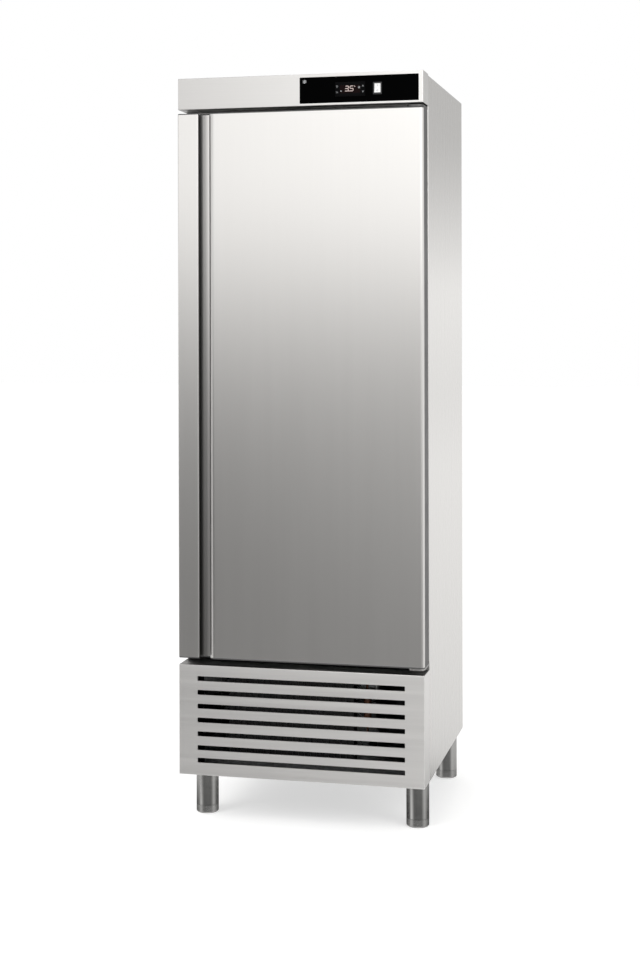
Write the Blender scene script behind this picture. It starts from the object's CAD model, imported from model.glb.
import math

import bpy
from mathutils import Matrix, Vector


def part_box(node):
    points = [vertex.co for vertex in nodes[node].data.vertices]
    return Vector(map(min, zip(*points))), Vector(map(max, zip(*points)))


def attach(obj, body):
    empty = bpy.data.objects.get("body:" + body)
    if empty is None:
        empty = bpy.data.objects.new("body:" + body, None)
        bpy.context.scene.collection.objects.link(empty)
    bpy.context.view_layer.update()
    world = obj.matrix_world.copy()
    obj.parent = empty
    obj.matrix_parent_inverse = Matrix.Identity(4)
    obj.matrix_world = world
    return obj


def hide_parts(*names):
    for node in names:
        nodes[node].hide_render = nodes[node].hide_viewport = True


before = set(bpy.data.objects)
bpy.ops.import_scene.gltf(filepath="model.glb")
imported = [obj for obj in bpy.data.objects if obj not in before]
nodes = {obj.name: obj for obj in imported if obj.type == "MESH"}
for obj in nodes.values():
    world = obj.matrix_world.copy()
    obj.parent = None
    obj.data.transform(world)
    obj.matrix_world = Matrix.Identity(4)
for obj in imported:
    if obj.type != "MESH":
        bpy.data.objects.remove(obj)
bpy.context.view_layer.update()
print("frame loaded with", len(nodes), "parts")

millimetre = 0.001
fullTurn = 2 * math.pi


# Node helpers

# Plain values are set on a node's inputs, sockets are linked to them.
def feed(tree, node, sources):
    for name, source in sources.items():
        if isinstance(source, bpy.types.NodeSocket):
            tree.links.new(source, node.inputs[name])
        else:
            node.inputs[name].default_value = source


def addNode(tree, kind, sources=None, **settings):
    node = tree.nodes.new("ShaderNode" + kind)
    for name, value in settings.items():
        setattr(node, name, value)
    feed(tree, node, sources or {})
    return node


def maths(tree, operation, first, second):
    return addNode(tree, "Math", {0: first, 1: second}, operation=operation).outputs[0]


def mixed(tree, kind, factor, first, second):
    mix = addNode(tree, "Mix", {"Factor": factor, "A": first, "B": second}, data_type=kind)
    return mix.outputs["Result"]


def emptyTree(owner):
    owner.use_nodes = True
    owner.node_tree.nodes.clear()
    return owner.node_tree


def newMaterial(name, sources):
    material = bpy.data.materials.new(name)
    tree = emptyTree(material)
    shader = addNode(tree, "BsdfPrincipled", sources)
    addNode(tree, "OutputMaterial", {"Surface": shader.outputs["BSDF"]})
    return material, tree, shader


def objectPlace(tree):
    return addNode(tree, "TexCoord").outputs["Object"]


# Detail and roughness of each sort of noise, and the span in which nearly all its values lie
noiseSorts = {
    "fineGrain": (4, 0.7), "broadGrain": (3, 0.5), "ripple": (1, 0.3),
    "spark": (2, 0.5), "cloud": (3, 0.6), "floor": (2, 0.4),
}
noiseSpan = (0.3, 0.7)


# Noise in the object's own metres. The scale is one number or one for each axis.
def grainNoise(tree, sort, scale):
    detail, roughness = noiseSorts[sort]
    axisScales = scale if isinstance(scale, tuple) else (scale, scale, scale)
    mapping = addNode(tree, "Mapping", {"Vector": objectPlace(tree), "Scale": axisScales})
    noise = addNode(
        tree, "TexNoise",
        {"Vector": mapping.outputs["Vector"], "Scale": 1, "Detail": detail, "Roughness": roughness},
    )
    return noise.outputs["Fac"]


def mapRange(tree, source, low, high, span=noiseSpan):
    node = addNode(tree, "MapRange", {
        "Value": source, "From Min": span[0], "From Max": span[1], "To Min": low, "To Max": high,
    })
    return node.outputs["Result"]


# As the factor goes from 0 to 1, the colour goes from its dark share to its light share.
def shaded(tree, factor, colour, darkShare, lightShare=1):
    dark, light = ((*(part * share for part in colour), 1) for share in (darkShare, lightShare))
    return mixed(tree, "RGBA", factor, dark, light)


# Bumps laid one on the other, each given by a height source and a height in millimetres
def addBump(tree, shader, reliefs):
    under = {}
    for source, height in reliefs:
        bump = addNode(
            tree, "Bump", {"Strength": 1, "Distance": height * millimetre, "Height": source, **under}
        )
        under = {"Normal": bump.outputs["Normal"]}
    feed(tree, shader, under)


# Unbrushed sheet down in a recess or inside a casing is duller. Each limit names an axis and where,
# in metres, the dull zone starts and is full; under a lip it is duller still.
def darkerInRecess(tree, tint, recess):
    place = addNode(tree, "SeparateXYZ", {"Vector": objectPlace(tree)})
    inside = 1
    for axis, start, full in recess["limits"]:
        inside = maths(tree, "MULTIPLY", inside, mapRange(tree, place.outputs[axis], 0, 1, (start, full)))
    level = recess["level"]
    if "lip" in recess:
        level = mapRange(tree, place.outputs["X"], recess["underLip"], level, recess["lip"])
    dull = mixed(tree, "FLOAT", inside, 1, level)
    return addNode(tree, "VectorMath", {0: tint, "Scale": dull}, operation="SCALE").outputs["Vector"]


# Rolled and brushed sheet: streaks along the grain and a slow ripple of the sheet
def brushedSheet(name, look):
    material, tree, shader = newMaterial(name, {
        "Metallic": 1, "Anisotropic": look["anisotropic"], "Anisotropic Rotation": look["turn"],
    })
    sorts = ("fineGrain", "broadGrain", "ripple")
    fine, broad, ripple = (grainNoise(tree, sort, look[sort]) for sort in sorts)
    equalShares = 0.5
    streak = mixed(tree, "FLOAT", equalShares, fine, broad)
    depth = look["streakDepth"]
    tint = shaded(tree, mapRange(tree, streak, 0, 1), look["colour"], 1 - depth, 1 + depth)
    if "recess" in look:
        tint = darkerInRecess(tree, tint, look["recess"])
    tangent = addNode(tree, "Tangent", direction_type="RADIAL", axis="Z")
    feed(tree, shader, {
        "Base Color": tint,
        "Roughness": mapRange(tree, streak, *look["roughness"]),
        "Tangent": tangent.outputs["Tangent"],
    })
    addBump(tree, shader, [(fine, look["grainHeight"]), (ripple, look["rippleHeight"])])
    return material


# Moulded plastic or rubber: fine spark texture with a slightly uneven sheen
def mouldedPlastic(name, look):
    usualSpecular = 0.5
    material, tree, shader = newMaterial(name, {"Specular IOR Level": look.get("specular", usualSpecular)})
    if "coat" in look:
        feed(tree, shader, {"Coat Weight": look["coat"], "Coat Roughness": look["coatRoughness"]})
    spark = grainNoise(tree, "spark", look["sparkScale"])
    cloud = grainNoise(tree, "cloud", look["cloudScale"])
    depth = look["cloudDepth"]
    feed(tree, shader, {
        "Base Color": shaded(tree, mapRange(tree, cloud, 0, 1), look["colour"], 1 - depth, 1 + depth),
        "Roughness": mapRange(tree, cloud, *look["roughness"]),
    })
    addBump(tree, shader, [(spark, look["sparkHeight"])])
    return material


# Hot-dip zinc: crystal flakes of slightly different brightness
flakeShape = {"warpScale": 0.7, "warpDetail": 2, "warpShare": 0.012, "height": 0.02}


def galvanisedSheet(name, look):
    material, tree, shader = newMaterial(name, {"Metallic": look["metallic"]})
    place = objectPlace(tree)
    warp = addNode(tree, "TexNoise", {
        "Vector": place, "Scale": look["flakeScale"] * flakeShape["warpScale"],
        "Detail": flakeShape["warpDetail"],
    })
    warped = mixed(tree, "VECTOR", flakeShape["warpShare"], place, warp.outputs["Color"])
    flakes = addNode(tree, "TexVoronoi", {"Vector": warped, "Scale": look["flakeScale"], "Randomness": 1})
    cell = addNode(tree, "SeparateColor", {"Color": flakes.outputs["Color"]})
    depth = look["flakeDepth"]
    feed(tree, shader, {
        "Base Color": shaded(tree, cell.outputs["Red"], look["colour"], 1 - depth, 1 + depth),
        "Roughness": mapRange(tree, cell.outputs["Green"], *look["roughness"], (0, 1)),
    })
    addBump(tree, shader, [(cell.outputs["Blue"], flakeShape["height"])])
    return material


# Open cells of rigid foam, seen only where the skins are off
def rigidFoam(name, look):
    material, tree, shader = newMaterial(name, {"Roughness": 0.9, "Specular IOR Level": 0.2})
    cells = addNode(tree, "TexVoronoi", {"Vector": objectPlace(tree), "Scale": look["cellScale"]})
    distance = cells.outputs["Distance"]
    feed(tree, shader, {"Base Color": shaded(tree, distance, look["colour"], look["cellDark"])})
    addBump(tree, shader, [(distance, look["cellHeight"])])
    return material


# Finishes of this cabinet

doorSteelLook = {
    "colour": (0.745, 0.738, 0.728), "streakDepth": 0.012, "roughness": (0.275, 0.31),
    "anisotropic": 0.72, "turn": 0.0,
    "fineGrain": (700, 700, 5), "broadGrain": (55, 55, 1.2), "ripple": (2.2, 2.2, 1.1),
    "grainHeight": 0.0015, "rippleHeight": 0.2,
    "recess": {
        "limits": (("Y", -0.3611, -0.3595), ("X", -0.32, -0.316), ("X", -0.264, -0.274)),
        "level": 0.58, "lip": (-0.2865, -0.2795), "underLip": 0.22,
    },
}
frontSteelLook = {
    "colour": (0.8, 0.794, 0.786), "streakDepth": 0.03, "roughness": (0.3, 0.4),
    "anisotropic": 0.78, "turn": 0.25,
    "fineGrain": (5, 5, 700), "broadGrain": (1.6, 1.6, 90), "ripple": (3, 3, 3),
    "grainHeight": 0.0015, "rippleHeight": 0.12,
    "recess": {
        "limits": (
            ("Y", -0.359, -0.357), ("X", -0.3462, -0.3456), ("X", 0.3462, 0.3456), ("Z", 2.0, 1.9965),
        ),
        "level": 0.32,
    },
}
sideSteelLook = {
    "colour": (0.79, 0.784, 0.775), "streakDepth": 0.006, "roughness": (0.26, 0.28),
    "anisotropic": 0.5, "turn": 0.0,
    "fineGrain": (600, 600, 5), "broadGrain": (60, 60, 0.5), "ripple": (1.2, 1.2, 0.8),
    "grainHeight": 0.001, "rippleHeight": 0.18,
    "recess": {
        "limits": (("X", -0.3463, -0.346), ("X", 0.3463, 0.346), ("Y", 0.346, 0.343), ("Z", 0.47, 0.45)),
        "level": 0.1,
    },
}
linerSteelLook = {
    "colour": (0.72, 0.72, 0.715), "streakDepth": 0.02, "roughness": (0.28, 0.36),
    "anisotropic": 0.5, "turn": 0.25,
    "fineGrain": (6, 6, 600), "broadGrain": (2, 2, 60), "ripple": (3, 3, 3),
    "grainHeight": 0.001, "rippleHeight": 0.15,
}
legSteelLook = {
    "colour": (0.43, 0.43, 0.425), "streakDepth": 0.05, "roughness": (0.12, 0.2),
    "anisotropic": 0.3, "turn": 0.0,
    "fineGrain": (12, 12, 900), "broadGrain": (20, 20, 60), "ripple": (10, 10, 10),
    "grainHeight": 0.0008, "rippleHeight": 0.0,
}
footSteelLook = {
    "colour": (0.4, 0.4, 0.395), "streakDepth": 0.06, "roughness": (0.2, 0.3),
    "anisotropic": 0.3, "turn": 0.0,
    "fineGrain": (12, 12, 900), "broadGrain": (20, 20, 60), "ripple": (10, 10, 10),
    "grainHeight": 0.001, "rippleHeight": 0.0,
}
hingeSteelLook = {
    "colour": (0.42, 0.417, 0.412), "streakDepth": 0.03, "roughness": (0.34, 0.44),
    "anisotropic": 0.2, "turn": 0.0,
    "fineGrain": (300, 300, 300), "broadGrain": (40, 40, 40), "ripple": (20, 20, 20),
    "grainHeight": 0.002, "rippleHeight": 0.01,
    "recess": {"limits": (("Z", 1.9, 1.95),), "level": 0.3},
}
zincLook = {
    "colour": (0.62, 0.625, 0.62), "streakDepth": 0.05, "roughness": (0.2, 0.32),
    "anisotropic": 0.0, "turn": 0.0,
    "fineGrain": (300, 300, 300), "broadGrain": (60, 60, 60), "ripple": (20, 20, 20),
    "grainHeight": 0.002, "rippleHeight": 0.01,
}
aluminiumLook = {
    "colour": (0.78, 0.785, 0.79), "streakDepth": 0.03, "roughness": (0.3, 0.42),
    "anisotropic": 0.2, "turn": 0.25,
    "fineGrain": (200, 200, 200), "broadGrain": (30, 30, 30), "ripple": (20, 20, 20),
    "grainHeight": 0.002, "rippleHeight": 0.02,
}
copperLook = {
    "colour": (0.22, 0.115, 0.078), "streakDepth": 0.16, "roughness": (0.4, 0.55),
    "anisotropic": 0.2, "turn": 0.0,
    "fineGrain": (150, 150, 150), "broadGrain": (25, 25, 9), "ripple": (20, 20, 20),
    "grainHeight": 0.002, "rippleHeight": 0.01,
}
zincSheetLook = {
    "colour": (0.56, 0.575, 0.58), "flakeDepth": 0.09, "roughness": (0.34, 0.5),
    "metallic": 0.92, "flakeScale": 75,
}
bayZincLook = {
    "colour": (0.2, 0.205, 0.208), "flakeDepth": 0.12, "roughness": (0.5, 0.66),
    "metallic": 0.8, "flakeScale": 75,
}
greyPlasticLook = {
    "colour": (0.57, 0.575, 0.58), "cloudDepth": 0.03, "roughness": (0.36, 0.46),
    "sparkScale": 1500, "cloudScale": 14, "sparkHeight": 0.02,
}
trimPlasticLook = {
    "colour": (0.085, 0.085, 0.087), "cloudDepth": 0.03, "roughness": (0.42, 0.52),
    "sparkScale": 1500, "cloudScale": 14, "sparkHeight": 0.02, "specular": 0.3,
}
whitePlasticLook = {
    "colour": (0.9, 0.9, 0.89), "cloudDepth": 0.015, "roughness": (0.22, 0.3),
    "sparkScale": 900, "cloudScale": 40, "sparkHeight": 0.004,
}
panelFilmLook = {
    "colour": (0.0006, 0.0006, 0.0007), "cloudDepth": 0.1, "roughness": (0.16, 0.24),
    "sparkScale": 1400, "cloudScale": 20, "sparkHeight": 0.004, "specular": 0.008,
}
blackPlasticLook = {
    "colour": (0.02, 0.02, 0.022), "cloudDepth": 0.12, "roughness": (0.4, 0.52),
    "sparkScale": 1500, "cloudScale": 25, "sparkHeight": 0.03,
}
keypadLook = {
    "colour": (0.0022, 0.0022, 0.0026), "cloudDepth": 0.1, "roughness": (0.3, 0.4),
    "sparkScale": 1800, "cloudScale": 40, "sparkHeight": 0.01, "specular": 0.03,
}
windowLook = {
    "colour": (0.006, 0.0016, 0.0018), "cloudDepth": 0.06, "roughness": (0.06, 0.1),
    "sparkScale": 600, "cloudScale": 30, "sparkHeight": 0.001, "specular": 0.05,
}
blackPaintLook = {
    "colour": (0.014, 0.014, 0.015), "cloudDepth": 0.2, "roughness": (0.28, 0.42),
    "sparkScale": 300, "cloudScale": 18, "sparkHeight": 0.03, "coat": 0.4, "coatRoughness": 0.25,
}
rubberLook = {
    "colour": (0.022, 0.022, 0.023), "cloudDepth": 0.15, "roughness": (0.62, 0.78),
    "sparkScale": 900, "cloudScale": 60, "sparkHeight": 0.05, "specular": 0.35,
}
sealLook = {
    "colour": (0.2, 0.205, 0.21), "cloudDepth": 0.05, "roughness": (0.5, 0.6),
    "sparkScale": 1100, "cloudScale": 20, "sparkHeight": 0.02, "specular": 0.4,
}
wireCoatLook = {
    "colour": (0.6, 0.61, 0.62), "cloudDepth": 0.03, "roughness": (0.34, 0.44),
    "sparkScale": 700, "cloudScale": 50, "sparkHeight": 0.02,
}
foamLook = {"colour": (0.86, 0.76, 0.47), "cellDark": 0.82, "cellScale": 900, "cellHeight": 0.4}

brushedLooks = {
    "doorSteel": doorSteelLook, "frontSteel": frontSteelLook, "sideSteel": sideSteelLook,
    "linerSteel": linerSteelLook, "legSteel": legSteelLook, "hingeSteel": hingeSteelLook,
    "footSteel": footSteelLook, "zincPlate": zincLook, "finAluminium": aluminiumLook,
    "copperTube": copperLook,
}
mouldedLooks = {
    "greyPlastic": greyPlasticLook, "trimPlastic": trimPlasticLook, "whitePlastic": whitePlasticLook,
    "panelFilm": panelFilmLook, "blackPlastic": blackPlasticLook, "keypad": keypadLook,
    "displayWindow": windowLook, "blackPaint": blackPaintLook, "rubber": rubberLook,
    "sealRubber": sealLook, "wireCoat": wireCoatLook,
}
finishes = {
    name: make(name, look)
    for make, looks in (
        (brushedSheet, brushedLooks),
        (galvanisedSheet, {"zincSheet": zincSheetLook, "bayZinc": bayZincLook}),
        (mouldedPlastic, mouldedLooks),
        (rigidFoam, {"foam": foamLook}),
    )
    for name, look in looks.items()
}

finishOfPart = {
    "doorSteel": "door_skin handle_profile",
    "frontSteel": "fascia grille_panel",
    "sideSteel": "side_panel_left side_panel_right top_panel",
    "linerSteel": "inner_liner shelf_uprights shelf_runners evaporator_cover",
    "legSteel": "legs",
    "footSteel": "foot_front_left foot_front_right foot_rear_left foot_rear_right",
    "hingeSteel": "hinge_brackets",
    "zincPlate": "hinge_pins hinge_screws leg_bolts",
    "finAluminium": "evaporator_coil",
    "copperTube": "refrigerant_lines filter_drier",
    "zincSheet": "back_panel rear_cover",
    "bayZinc": "base_tray fan_shroud",
    "greyPlastic": "breaker_frame door_liner drain_tube",
    "trimPlastic": "door_side_trims door_end_caps",
    "whitePlastic": "rocker hinge_bushes interior_lamp",
    "panelFilm": "control_panel",
    "keypad": "controller button_up button_down button_set button_light",
    "displayWindow": "display_window",
    "blackPlastic": "switch_body terminal_cover condensate_tray cable_gland condenser_fan evaporator_fan"
                    " evaporator_fan_motor",
    "blackPaint": "compressor condenser_coil condenser_fan_motor",
    "rubber": "compressor_mounts",
    "sealRubber": "door_gasket",
    "wireCoat": "shelf_1 shelf_2 shelf_3 fan_guard",
    "foam": "cabinet_foam door_foam",
}
dressed = 0
for finish, parts in finishOfPart.items():
    for part in parts.split():
        if part in nodes:
            for holder in nodes[part].material_slots:
                holder.material = finishes[finish]
            dressed += 1
print("finishes on", dressed, "of", len(nodes), "parts")


# Mesh helpers

def meshObject(name, vertices, faces, material):
    mesh = bpy.data.meshes.new(name)
    mesh.from_pydata(vertices, [], faces)
    mesh.validate()
    mesh.update()
    mesh.materials.append(material)
    made = bpy.data.objects.new(name, mesh)
    bpy.context.scene.collection.objects.link(made)
    return made


def makePiece(name, shape, finish, body, smooth=False):
    piece = meshObject(name, *shape, finish)
    for polygon in piece.data.polygons:
        polygon.use_smooth = smooth
    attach(piece, body)
    return piece


# Joins several (vertices, faces) lots into one.
def joinLots(lots):
    vertices, faces = [], []
    for lotVertices, lotFaces in lots:
        start = len(vertices)
        vertices += lotVertices
        faces += [[index + start for index in face] for face in lotFaces]
    return vertices, faces


# Quads from each ring of points to the next, for rings of count points that follow each other
def ringWalls(ringCount, count):
    return [
        [ring + i, ring + (i + 1) % count, ring + count + (i + 1) % count, ring + count + i]
        for ring in range(0, (ringCount - 1) * count, count)
        for i in range(count)
    ]


# Two outlines with the same number of points become the ends of a solid.
def prism(front, back):
    count = len(front)
    faces = [list(range(count))[::-1], list(range(count, 2 * count))]
    return front + back, faces + ringWalls(2, count)


unitSquare = [(-1, -1), (1, -1), (1, 1), (-1, 1)]


# Flat shapes given as polygons become thin raised print or inlays, placed by a matrix.
def raisedShapes(polygons, thickness, place):
    return joinLots([
        prism(*([place @ Vector((x, y, height)) for x, y in polygon] for height in (0, thickness)))
        for polygon in polygons
    ])


def onCircle(radius, angle):
    return radius * math.cos(angle), radius * math.sin(angle)


# Rings of points for a profile of (radius, height) turned about the placed Z axis
def turnedRings(profile, count, place):
    vertices = [
        place @ Vector((*onCircle(radius, fullTurn * i / count), height))
        for radius, height in profile
        for i in range(count)
    ]
    return vertices, ringWalls(len(profile), count)


def turnedShape(profile, count, place):
    vertices, faces = turnedRings(profile, count, place)
    last = len(vertices) - count
    faces += [[last + i for i in range(count)], list(range(count))[::-1]]
    return vertices, faces


# Stands a flat drawing on a face that looks towards the front: x right, y up, thickness to -Y.
def frontPlace(x, y, z):
    return Matrix(((1, 0, 0, x), (0, 0, -1, y), (0, 1, 0, z), (0, 0, 0, 1)))


def backPlace(x, y, z):
    return Matrix(((-1, 0, 0, x), (0, 0, 1, y), (0, 1, 0, z), (0, 0, 0, 1)))


def turned(polygons, angle):
    c, s = math.cos(angle), math.sin(angle)
    return [[(x * c - y * s, x * s + y * c) for x, y in polygon] for polygon in polygons]


def moved(polygons, dx, dy):
    return [[(x + dx, y + dy) for x, y in polygon] for polygon in polygons]


def scaled(polygon, size):
    return [(x * size, y * size) for x, y in polygon]


def bar(x0, y0, x1, y1, width):
    length = math.hypot(x1 - x0, y1 - y0)
    nx, ny = -(y1 - y0) / length * width / 2, (x1 - x0) / length * width / 2
    return [(x0 + nx, y0 + ny), (x0 - nx, y0 - ny), (x1 - nx, y1 - ny), (x1 + nx, y1 + ny)]


def ringShape(radius, width, count):
    inner = radius - width
    polygons = []
    for i in range(count):
        a, b = fullTurn * i / count, fullTurn * (i + 1) / count
        polygons.append([onCircle(radius, a), onCircle(radius, b), onCircle(inner, b), onCircle(inner, a)])
    return polygons


# Control panel print, display and switch marks

displayLook = {
    "text": "3.5", "digitHeight": 0.0135, "digitWidth": 0.0092, "stroke": 0.0019, "gapShare": 0.12,
    "dotShare": 0.7, "pitch": 0.0136, "slant": 0.1, "place": (-0.0025, 0.0015),
    "ring": {"radius": 0.0015, "width": 0.0007, "count": 12}, "ringPlace": (0.0155, 0.007),
    "paint": (0.3, 0.3, 0.3), "glow": (1.0, 0.66, 0.57), "glowStrength": 0.4, "thickness": 0.00006,
}
# The lit segments of every figure that the text may hold
segmentsOf = {
    "0": "abcdef", "1": "bc", "2": "abged", "3": "abgcd", "4": "fgbc",
    "5": "afgcd", "6": "afgedc", "7": "abc", "8": "abcdefg", "9": "abcdfg",
}
glowCloud = {"scale": 700, "paintDark": 0.92, "glowDark": 0.9}


def glowingPaint(name, paint, glow, strength):
    material, tree, shader = newMaterial(name, {"Roughness": 0.5, "Emission Strength": strength})
    cloud = grainNoise(tree, "spark", glowCloud["scale"])
    feed(tree, shader, {
        "Base Color": shaded(tree, cloud, paint, glowCloud["paintDark"]),
        "Emission Color": shaded(tree, cloud, glow, glowCloud["glowDark"]),
    })
    return material


def segmentDigit(figure, look):
    w, h, t = look["digitWidth"] / 2, look["digitHeight"] / 2, look["stroke"] / 2
    gap = look["stroke"] * look["gapShare"]
    ends = {
        "a": (-w, h, w, h), "b": (w, h, w, 0), "c": (w, 0, w, -h), "d": (-w, -h, w, -h),
        "e": (-w, 0, -w, -h), "f": (-w, h, -w, 0), "g": (-w, 0, w, 0),
    }
    polygons = []
    for letter in segmentsOf[figure]:
        x0, y0, x1, y1 = ends[letter]
        if y0 == y1:
            x0, x1 = x0 + gap, x1 - gap
            shape = [(x0, y0), (x0 + t, y0 + t), (x1 - t, y0 + t),
                     (x1, y0), (x1 - t, y0 - t), (x0 + t, y0 - t)]
        else:
            y0, y1 = y0 - gap, y1 + gap
            shape = [(x0, y0), (x0 - t, y0 - t), (x0 - t, y1 + t),
                     (x0, y1), (x0 + t, y1 + t), (x0 + t, y0 - t)]
        polygons.append([(x + y * look["slant"], y) for x, y in shape])
    return polygons


def writtenText(look):
    figures, cursor = [], 0.0
    for letter in look["text"]:
        if letter == ".":
            dot = look["stroke"] * look["dotShare"]
            across = cursor - look["pitch"] / 2 - look["slant"] * look["digitHeight"] / 2
            figures += moved([scaled(unitSquare, dot)], across, -look["digitHeight"] / 2)
        else:
            figures += moved(segmentDigit(letter, look), cursor, 0)
            cursor += look["pitch"]
    across, up = look["place"]
    return moved(figures, across - (cursor - look["pitch"]) / 2, up)


def snowflake(size, width):
    barCount, branchPlace, branchReach = 3, size * 0.3, size * 0.14
    arm = [bar(0, -size / 2, 0, size / 2, width)]
    for end in (-1, 1):
        for side in (1, -1):
            arm.append(bar(
                0, end * branchPlace, side * branchReach, end * branchPlace + end * branchReach, width,
            ))
    return [p for turn in range(barCount) for p in turned(arm, turn * math.pi / barCount)]


windowLow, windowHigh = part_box("display_window")
windowMiddle = (windowLow + windowHigh) / 2
displayFace = frontPlace(windowMiddle.x, windowLow.y, windowMiddle.z)
figures = writtenText(displayLook)
figures += moved(
    ringShape(**displayLook["ring"]), displayLook["place"][0] + displayLook["ringPlace"][0],
    displayLook["ringPlace"][1],
)
makePiece(
    "displayDigits", raisedShapes(figures, displayLook["thickness"], displayFace),
    glowingPaint("displayGlow", displayLook["paint"], displayLook["glow"], displayLook["glowStrength"]),
    "cabinet",
)

printLook = {
    "paint": (0.5, 0.51, 0.52), "buttonPaint": (0.2, 0.205, 0.21), "glow": (0.5, 0.5, 0.5),
    "glowStrength": 0.12, "buttonGlowStrength": 0.03, "iconSize": 0.0058, "stroke": 0.0009,
    "thinShare": 0.8, "thickness": 0.00008, "flakePlace": (0.025, 0.004), "ringPlace": (-0.025, -0.005),
    "cornerMark": 0.0105, "cornerStroke": 0.0011, "cornerInset": (0.0165, 0.0145),
}
# In shares of the icon size. A ring has its radius and its number of sides.
iconShapes = {
    "windowRing": (0.32, 14), "setRing": (0.5, 18), "lightRing": (0.3, 16), "setHand": (-0.12, 0.3),
    "upArrow": [(-0.5, -0.35), (0.5, -0.35), (0, 0.45)],
    "downArrow": [(-0.5, 0.35), (0, -0.45), (0.5, 0.35)],
    "rayEnds": (0.38, 0.58), "rayCount": 8,
}
printPaint = glowingPaint("iconPrint", printLook["paint"], printLook["glow"], printLook["glowStrength"])
buttonPrint = glowingPaint(
    "buttonPrint", printLook["buttonPaint"], printLook["glow"], printLook["buttonGlowStrength"]
)
iconSize, stroke = printLook["iconSize"], printLook["stroke"]
thinStroke = stroke * printLook["thinShare"]


def iconRing(name, width):
    radius, count = iconShapes[name]
    return ringShape(iconSize * radius, width, count)


def lightRay(angle):
    start, end = (onCircle(iconSize * share, angle) for share in iconShapes["rayEnds"])
    return bar(*start, *end, thinStroke)


windowIcons = moved(snowflake(iconSize, thinStroke), *printLook["flakePlace"])
windowIcons += moved(iconRing("windowRing", thinStroke), *printLook["ringPlace"])
makePiece(
    "displayIcons", raisedShapes(windowIcons, displayLook["thickness"], displayFace),
    printPaint, "cabinet",
)
handLow, handHigh = (iconSize * share for share in iconShapes["setHand"])
rayCount = iconShapes["rayCount"]
buttonIcons = {
    "button_up": [scaled(iconShapes["upArrow"], iconSize)],
    "button_down": [scaled(iconShapes["downArrow"], iconSize)],
    "button_set": iconRing("setRing", stroke) + [bar(0, handLow, 0, handHigh, stroke)],
    "button_light": iconRing("lightRing", thinStroke)
                    + [lightRay(fullTurn * i / rayCount) for i in range(rayCount)],
}
for button, icon in buttonIcons.items():
    low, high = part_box(button)
    place = frontPlace((low.x + high.x) / 2, low.y, (low.z + high.z) / 2)
    makePiece(
        button.replace("button_", "icon_"), raisedShapes(icon, printLook["thickness"], place),
        buttonPrint, button,
    )

panelLow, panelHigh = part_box("control_panel")
cornerRight, cornerDown = printLook["cornerInset"]
cornerPlace = frontPlace(panelLow.x + cornerRight, panelLow.y, panelHigh.z - cornerDown)
cornerFlake = snowflake(printLook["cornerMark"], printLook["cornerStroke"])
makePiece(
    "panelCornerMark", raisedShapes(cornerFlake, printLook["thickness"], cornerPlace),
    printPaint, "cabinet",
)

# The rocker is two flats that meet in a shallow V, and the marks lie on them.
rockerLook = {
    "half": 0.0127, "face": 0.0051, "middle": 0.00355, "tilt": math.radians(7), "markSize": 0.0046,
    "markStroke": 0.0008, "markSides": 20, "markShare": 0.55, "thickness": 0.00008,
}
rockerLow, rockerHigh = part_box("rocker")
markPaint = mouldedPlastic("rockerMarkPaint", {
    "colour": (0.3, 0.31, 0.32), "cloudDepth": 0.05, "roughness": (0.5, 0.6),
    "sparkScale": 900, "cloudScale": 40, "sparkHeight": 0.002,
})


def rockerFlat(side):
    c, s = math.cos(rockerLook["tilt"]), math.sin(rockerLook["tilt"])
    reach = rockerLook["face"] * c + rockerLook["half"] * s
    pivot = Vector(((rockerLow.x + rockerHigh.x) / 2, rockerLow.y + reach, (panelLow.z + panelHigh.z) / 2))
    deep, up = Vector((0, c, -s)), Vector((0, s, c))
    inner = pivot - deep * rockerLook["middle"]
    outer = pivot - deep * rockerLook["face"] + up * rockerLook["half"] * side
    along = (outer - inner).normalized() * side
    normal = Vector((1, 0, 0)).cross(along)
    middle = inner.lerp(outer, rockerLook["markShare"])
    return Matrix(((1, along.x, normal.x, middle.x), (0, along.y, normal.y, middle.y),
                   (0, along.z, normal.z, middle.z), (0, 0, 0, 1)))


markHalf, markStroke = rockerLook["markSize"] / 2, rockerLook["markStroke"]
rockerMarks = {
    "rockerMarkOn": (1, [bar(0, -markHalf, 0, markHalf, markStroke)]),
    "rockerMarkOff": (-1, ringShape(markHalf, markStroke, rockerLook["markSides"])),
}
for name, (side, mark) in rockerMarks.items():
    makePiece(
        name, raisedShapes(mark, rockerLook["thickness"], rockerFlat(side)),
        markPaint, "rocker",
    )
print("control panel printed")


# Door seal: a magnetic strip with a folded bellows, mitred at the corners

sealShape = {
    "profile": [  # inset from the outer edge and height above the door liner, mm
        (2.0, 0.0), (2.0, 1.6), (0.6, 3.0), (0.6, 4.4), (2.6, 5.6), (0.9, 7.2), (0.5, 9.6), (0.5, 12.6),
        (1.4, 13.5), (13.6, 13.5), (14.6, 12.4), (14.6, 9.8), (13.2, 8.6), (9.5, 7.8), (13.0, 6.0),
        (15.2, 4.6), (15.4, 1.2), (14.6, 0.0),
    ],
}
sealLow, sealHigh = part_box("door_gasket")


def mitredFrame(profile, low, high):
    vertices, faces = [], []
    for inset, rise in profile:
        x0, x1 = low.x + inset * millimetre, high.x - inset * millimetre
        z0, z1 = low.z + inset * millimetre, high.z - inset * millimetre
        y = low.y + rise * millimetre
        vertices += [(x0, y, z0), (x1, y, z0), (x1, y, z1), (x0, y, z1)]
    count = len(profile)
    for i in range(count):
        j = (i + 1) % count
        for corner in range(4):
            other = (corner + 1) % 4
            faces.append([4 * i + corner, 4 * i + other, 4 * j + other, 4 * j + corner])
    return vertices, faces


bellowsSeal = makePiece(
    "bellowsSeal", mitredFrame(sealShape["profile"], sealLow, sealHigh),
    finishes["sealRubber"], "door",
)
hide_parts("door_gasket")


# Bulb strip along the back edge of the louvre panel's top, which closes the slit to the cabinet

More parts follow.
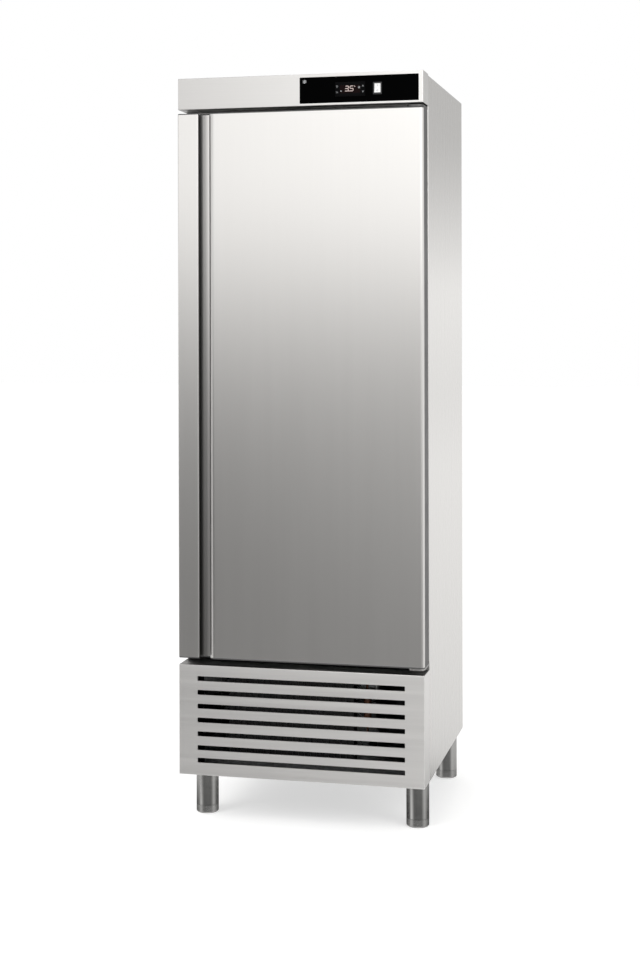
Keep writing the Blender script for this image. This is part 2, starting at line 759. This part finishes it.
stripShape = {
    "inset": 0.006, "backGap": 0.0004, "rootWidth": 0.0026, "bulb": 0.0026, "lift": 0.0042,
    "start": -math.pi / 4, "sweep": 1.5 * math.pi, "steps": 14,
}
grilleLow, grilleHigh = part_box("grille_panel")


def bulbStrip(shape, low, high):
    back = high.y - shape["backGap"]
    section = [(back - shape["rootWidth"], high.z), (back, high.z)]
    for i in range(shape["steps"] + 1):
        across, up = onCircle(shape["bulb"], shape["start"] + shape["sweep"] * i / shape["steps"])
        section.append((back - shape["rootWidth"] / 2 + across, high.z + shape["lift"] + up))
    left, right = low.x + shape["inset"], high.x - shape["inset"]
    return prism([(left, y, z) for y, z in section], [(right, y, z) for y, z in section])


makePiece(
    "grilleTopStrip", bulbStrip(stripShape, grilleLow, grilleHigh), finishes["rubber"], "cabinet",
)


# Screws and rivets

# The crown's profile is in shares of the radius and the height.
screwLook = {
    "radius": 0.0038, "height": 0.0019, "sides": 24,
    "crown": [(1.0, 0.0), (1.0, 0.35), (0.92, 0.68), (0.76, 0.9), (0.58, 0.985), (0.44, 1.0)],
    "crossDepth": 0.0011, "crossWidth": 0.0011, "crossReach": 0.44, "crossTaper": 0.8,
    "sideMargin": 0.012, "endMargin": 0.011, "innerPlace": 0.115,
}


# Pan head with a cross recess: a turned crown whose flat top is filled up to the edge of the cross
def panHead(place, look):
    count, radius, height = look["sides"], look["radius"], look["height"]
    crown = [(radius * share, height * rise) for share, rise in look["crown"]]
    vertices, faces = turnedRings(crown, count, place)
    w, r = look["crossWidth"] / 2, radius * look["crossReach"]
    cross = [(r, -w), (r, w), (w, w), (w, r), (-w, r), (-w, w), (-r, w), (-r, -w), (-w, -w), (-w, -r),
             (w, -r), (w, -w)]
    corners = len(cross)
    top, start = len(vertices) - count, len(vertices)
    vertices += [place @ Vector((x, y, height)) for x, y in cross]
    vertices += [
        place @ Vector((x, y, height - look["crossDepth"])) for x, y in scaled(cross, look["crossTaper"])
    ]
    for i in range(corners):
        j = (i + 1) % corners
        faces.append([start + i, start + corners + i, start + corners + j, start + j])
    faces.append([start + corners + i for i in range(corners)])
    crossAngle = [math.atan2(y, x) % fullTurn for x, y in cross]
    order = sorted(range(corners), key=lambda i: crossAngle[i])
    for i, j in zip(order, order[1:] + order[:1]):  # lands between the rim of the crown and the cross
        step, last = (round(crossAngle[corner] / fullTurn * count) % count for corner in (i, j))
        rim = [top + step]
        while step != last:
            step = (step + 1) % count
            rim.append(top + step)
        faces.append(rim + [start + j, start + i])
    faces.append(list(range(count))[::-1])
    return vertices, faces


rearLow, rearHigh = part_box("rear_cover")
innerPlace, sideMargin, endMargin = (screwLook[key] for key in ("innerPlace", "sideMargin", "endMargin"))
screwPlaces = [
    backPlace(x, rearHigh.y, z)
    for x in (rearLow.x + sideMargin, -innerPlace, innerPlace, rearHigh.x - sideMargin)
    for z in (rearLow.z + endMargin, rearHigh.z - endMargin)
]
makePiece(
    "rearCoverScrews", joinLots([panHead(place, screwLook) for place in screwPlaces]),
    finishes["zincPlate"], "cabinet",
)

# The rivets end at the sheet's outer face, so that the cabinet keeps its depth.
rivetLook = {
    "radius": 0.0034, "height": 0.0011, "sides": 18, "rows": 9, "sideMargin": 0.037, "endMargin": 0.04,
    "profile": [(1, 0), (0.97, 0.45), (0.8, 0.82), (0.5, 0.98), (0.3, 1.0), (0.26, 0.55)],
}
backLow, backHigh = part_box("back_panel")
rivetProfile = [(r * rivetLook["radius"], h * rivetLook["height"]) for r, h in rivetLook["profile"]]
rivetReach = backHigh.z - backLow.z - 2 * rivetLook["endMargin"]
rivetLots = []
for x in (backLow.x + rivetLook["sideMargin"], backHigh.x - rivetLook["sideMargin"]):
    for i in range(rivetLook["rows"]):
        z = backLow.z + rivetLook["endMargin"] + i * rivetReach / (rivetLook["rows"] - 1)
        place = backPlace(x, backHigh.y - rivetLook["height"], z)
        rivetLots.append(turnedShape(rivetProfile, rivetLook["sides"], place))
makePiece(
    "backPanelRivets", joinLots(rivetLots), finishes["zincPlate"], "cabinet", smooth=True,
)
print("seal, screws and rivets made")


# Studio: floor, light and the far walls that the steel mirrors

studio = {
    "floorSize": 60.0, "floorColour": (0.86, 0.86, 0.855), "floorDark": 0.99, "floorCloud": 0.6,
    "floorGlow": 0.5, "ambient": 0.6, "lampAim": (0, 0, 1.0), "domeRadius": 9.0, "domeMiddle": 1.2,
    "domeSides": 48, "domeRows": 24, "domeColour": (1.0, 0.99, 0.975, 1),
}
lampLooks = {
    "keyLamp": {"place": (-3.4, -4.6, 4.4), "size": 3.6, "watts": 165.0},
    "fillLamp": {"place": (4.6, -3.2, 3.0), "size": 3.0, "watts": 70.0},
}
white = (1, 1, 1, 1)


# The direct level holds where the ray goes straight to the eye, to a mirror-like surface or through glass.
def directLevel(tree, otherwise, direct):
    path = addNode(tree, "LightPath").outputs
    seen = maths(tree, "MAXIMUM", path["Is Camera Ray"], path["Is Glossy Ray"])
    seen = maths(tree, "MAXIMUM", seen, path["Is Transmission Ray"])
    return mapRange(tree, seen, otherwise, direct, (0, 1))


def buildWorld():
    world = bpy.data.worlds.new("studioWorld")
    bpy.context.scene.world = world
    tree = emptyTree(world)
    strength = directLevel(tree, studio["ambient"], 1.0)
    background = addNode(tree, "Background", {"Color": white, "Strength": strength})
    addNode(tree, "OutputWorld", {"Surface": background.outputs["Background"]})


def buildFloor():
    finish, tree, shader = newMaterial(
        "studioFloorPaint", {"Roughness": 0.8, "Specular IOR Level": 0.1, "Emission Color": white}
    )
    cloud = grainNoise(tree, "floor", studio["floorCloud"])
    feed(tree, shader, {
        "Base Color": shaded(tree, cloud, studio["floorColour"], studio["floorDark"]),
        "Emission Strength": directLevel(tree, 0.0, studio["floorGlow"]),
    })
    corners = [(x, y, 0) for x, y in scaled(unitSquare, studio["floorSize"] / 2)]
    floor = meshObject("studioFloor", corners, [[0, 1, 2, 3]], finish)
    floor.visible_glossy = False


# The far walls are a wide ball round the set that only mirror-like surfaces see. These levels and
# shares go by the height in metres above the floor.
heightLevels = {
    "frontLeft": [
        (-6.0, 0.8), (-3.6, 0.65), (-2.7, 0.2), (-1.6, 0.18), (-1.16, 0.13), (-0.84, 0.02), (-0.4, 0.0),
        (0.0, 0.0), (0.35, 0.02), (0.75, 0.13), (1.15, 0.31), (1.55, 0.61), (1.95, 0.85), (2.35, 1.06),
        (2.9, 0.94), (3.6, 0.52), (5.0, 0.24), (8.0, 0.2),
    ],
    "frontRight": [
        (-6.0, 1.15), (-3.6, 1.0), (-2.7, 0.36), (-1.6, 0.33), (-1.16, 0.32), (-0.84, 0.42), (-0.4, 0.55),
        (0.0, 0.63), (0.35, 0.65), (0.75, 0.65), (1.15, 0.72), (1.55, 0.95), (1.95, 1.42), (2.35, 1.78),
        (2.75, 1.62), (3.0, 1.46), (3.25, 1.78), (3.6, 2.3), (5.0, 2.7), (8.0, 2.6),
    ],
    "back": [
        (-6.0, 0.6), (-3.0, 0.72), (-1.9, 0.84), (0.2, 0.98), (0.8, 0.9), (1.3, 0.97), (1.65, 1.04),
        (2.0, 0.86), (2.4, 0.69), (2.8, 0.55), (4.0, 0.55), (8.0, 0.6),
    ],
    "side": [(-6.0, 0.8), (-2.0, 0.95), (0.0, 1.0), (2.0, 1.0), (4.0, 0.9), (8.0, 0.8)],
    "legShare": [(-6.0, 0), (-3.3, 0.0), (-3.1, 1), (-2.2, 1), (-2.08, 0.0), (8.0, 0)],
}
# These go round the compass in degrees, from -X by way of the front.
compassLevels = {
    "rightShare": [(-180, 0), (-124, 0.0), (-83, 1), (180, 1)],
    "frontShare": [(-180, 0), (-158, 0.0), (-134, 1), (-40, 1), (-18, 0.0), (180, 0)],
    "backShare": [(-180, 0), (20, 0), (50, 1), (120, 1), (150, 0.2), (180, 0)],
    # the ring below floor level that only the legs mirror: two bright windows in a dim room
    "legRing": [
        (-180, 0.05), (-166, 0.14), (-154, 0.95), (-142, 1.35), (-130, 0.85), (-116, 0.24), (-90, 0.14),
        (-40, 0.15), (-24, 0.42), (-12, 0.72), (0, 0.6), (14, 0.28), (32, 0.08), (180, 0.05),
    ],
}
heightSpan, compassSpan, peakLevel = (-6.0, 8.0), (-180, 180), 2.8


def levelCurve(tree, source, points, span):
    low, high = span
    curve = addNode(tree, "FloatCurve", {"Value": mapRange(tree, source, 0, 1, span)})
    line = curve.mapping.curves[0]
    spots = [((place - low) / (high - low), level / peakLevel) for place, level in points]
    line.points[0].location = spots[0]
    line.points[1].location = spots[-1]
    for spot in spots[1:-1]:
        line.points.new(*spot)
    for point in line.points:
        point.handle_type = "VECTOR"
    curve.mapping.update()
    return maths(tree, "MULTIPLY", curve.outputs["Value"], peakLevel)


def wallGlow():
    material = bpy.data.materials.new("farWallGlow")
    tree = emptyTree(material)
    place = addNode(tree, "SeparateXYZ", {"Vector": objectPlace(tree)}).outputs
    degrees = maths(tree, "MULTIPLY", maths(tree, "ARCTAN2", place["Y"], place["X"]), math.degrees(1))
    curves = {
        name: levelCurve(tree, source, points, span)
        for source, lists, span in (
            (place["Z"], heightLevels, heightSpan), (degrees, compassLevels, compassSpan),
        )
        for name, points in lists.items()
    }
    level = mixed(tree, "FLOAT", curves["backShare"], curves["side"], curves["back"])
    front = mixed(tree, "FLOAT", curves["rightShare"], curves["frontLeft"], curves["frontRight"])
    level = mixed(tree, "FLOAT", curves["frontShare"], level, front)
    level = mixed(tree, "FLOAT", curves["legShare"], level, curves["legRing"])
    glow = addNode(tree, "Emission", {"Color": studio["domeColour"], "Strength": level})
    addNode(tree, "OutputMaterial", {"Surface": glow.outputs["Emission"]})
    return material


def buildFarWalls():
    sides, rows, radius = studio["domeSides"], studio["domeRows"], studio["domeRadius"]
    vertices = []
    for row in range(rows + 1):
        lift = math.pi * (row / rows - 0.5)
        across, height = radius * math.cos(lift), studio["domeMiddle"] + radius * math.sin(lift)
        vertices += [(*onCircle(across, fullTurn * i / sides), height) for i in range(sides)]
    inward = [wall[::-1] for wall in ringWalls(rows + 1, sides)]
    farWalls = meshObject("farWalls", vertices, inward, wallGlow())
    for ray in ("camera", "diffuse", "shadow", "transmission", "volume_scatter"):
        setattr(farWalls, "visible_" + ray, False)


def softLamp(name, look):
    lamp = bpy.data.lights.new(name, "AREA")
    lamp.shape = "SQUARE"
    lamp.size = look["size"]
    lamp.energy = look["watts"]
    holder = bpy.data.objects.new(name, lamp)
    bpy.context.scene.collection.objects.link(holder)
    holder.location = look["place"]
    aim = Vector(studio["lampAim"]) - Vector(look["place"])
    holder.rotation_euler = aim.to_track_quat("-Z", "Y").to_euler()
    holder.visible_glossy = False


cameraView = {
    "place": (1.1038, -4.9101, 1.4105), "tilt": 90, "roll": 0.122, "turn": 13.935, "lens": 63.93,
    "sensor": 36, "shift": (0.0313, -0.1685),
}


def placeCamera(look):
    data = bpy.data.cameras.new("productCamera")
    data.sensor_fit = "VERTICAL"
    data.sensor_height = look["sensor"]
    data.lens = look["lens"]
    data.shift_x, data.shift_y = look["shift"]
    camera = bpy.data.objects.new("productCamera", data)
    bpy.context.scene.collection.objects.link(camera)
    camera.location = look["place"]
    camera.rotation_euler = [math.radians(look[key]) for key in ("tilt", "roll", "turn")]
    bpy.context.scene.camera = camera


buildWorld()
buildFloor()
buildFarWalls()
for name, look in lampLooks.items():
    softLamp(name, look)
placeCamera(cameraView)
bpy.context.scene.view_settings.view_transform = "Standard"
print("studio set up")

print("sizes written")
